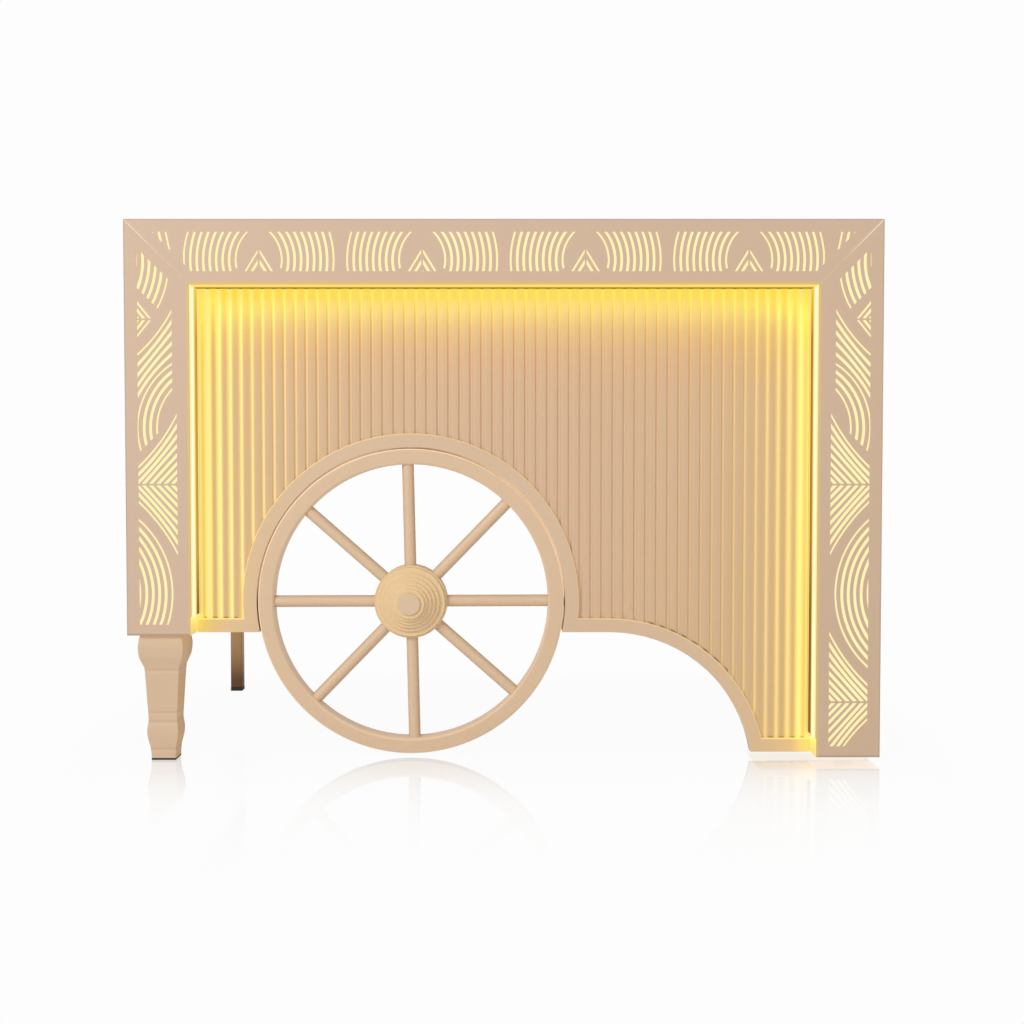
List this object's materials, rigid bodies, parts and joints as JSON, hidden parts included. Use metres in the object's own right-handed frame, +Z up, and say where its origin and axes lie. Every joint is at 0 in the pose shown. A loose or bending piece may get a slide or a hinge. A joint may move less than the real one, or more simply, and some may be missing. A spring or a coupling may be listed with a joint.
{
  "type": "cart-shaped bar counter",
  "caption": "Free-standing bar counter shaped like a cart: lit laser-cut border, fluted front, wagon wheel in an arch, moulded front leg, open back with a shelf.",
  "frame": {"origin": "on the floor, under the middle of the counter's box", "axes": "+X to the right seen from the front, +Y from front to back, +Z up"},
  "size_m": [1.5, 0.8, 1.08],
  "materials": {
    "beige_paint": "satin powder coat",
    "beige_wood": "satin paint on wood",
    "fluted_beige": "satin paint on a fluted board",
    "opal_light": "opal, lit from behind",
    "bronze_tube": "brown powder coat",
    "dark_foot": "matt",
    "zinc_steel": "zinc plated",
    "black_plastic": "matt moulded"
  },
  "bodies": {
    "counter": {"border_top": "beige_paint", "border_left": "beige_paint", "border_right": "beige_paint", "diffuser_top": "opal_light", "diffuser_left": "opal_light", "diffuser_right": "opal_light", "light_plate_top": "zinc_steel", "light_plate_left": "zinc_steel", "light_plate_right": "zinc_steel", "reveal_light_top": "opal_light", "reveal_light_left": "opal_light", "reveal_light_right": "opal_light", "fluted_panel": "fluted_beige", "bottom_trim": "beige_wood", "arch_liner": "beige_paint", "arch_flange": "beige_paint", "wheel_crossbar": "beige_paint", "stub_axle": "zinc_steel", "axle_washer": "zinc_steel", "axle_nut": "zinc_steel", "front_leg": "beige_wood", "front_leg_pad": "dark_foot", "top_rail_front": "bronze_tube", "top_rail_rear": "bronze_tube", "top_rail_left": "bronze_tube", "top_rail_right": "bronze_tube", "shelf_rail_front": "bronze_tube", "shelf_rail_rear": "bronze_tube", "shelf_rail_left": "bronze_tube", "shelf_rail_right": "bronze_tube", "front_post_left": "bronze_tube", "front_post_right": "bronze_tube", "rear_leg_left": "bronze_tube", "rear_leg_right": "bronze_tube", "rear_foot_left": "dark_foot", "rear_foot_right": "dark_foot", "end_rail": "bronze_tube", "end_glide": "dark_foot", "countertop": "beige_wood", "shelf": "beige_wood", "side_panel_left": "beige_paint", "side_panel_right": "beige_paint", "light_driver": "zinc_steel", "power_box": "beige_paint", "power_inlet": "black_plastic"},
    "wheel": {"wheel_rim": "beige_wood", "spoke_1": "beige_wood", "spoke_2": "beige_wood", "spoke_3": "beige_wood", "spoke_4": "beige_wood", "spoke_5": "beige_wood", "spoke_6": "beige_wood", "spoke_7": "beige_wood", "spoke_8": "beige_wood", "hub_barrel": "beige_wood", "hub_bush": "black_plastic", "hub_nose": "beige_wood", "hub_cap": "beige_wood"},
    "switch": {"rocker": "black_plastic"}
  },
  "joints": [
    {"name": "wheel_spin", "type": "hinge", "parent": "counter", "child": "wheel", "pos_m": [-0.189, -0.3363, 0.318], "axis": [0, 1, 0], "continuous": true},
    {"name": "switch_rock", "type": "hinge", "parent": "counter", "child": "switch", "pos_m": [0.556, 0.39, 1.0034], "axis": [1, 0, 0], "range_deg": [-16, 0]}
  ]
}
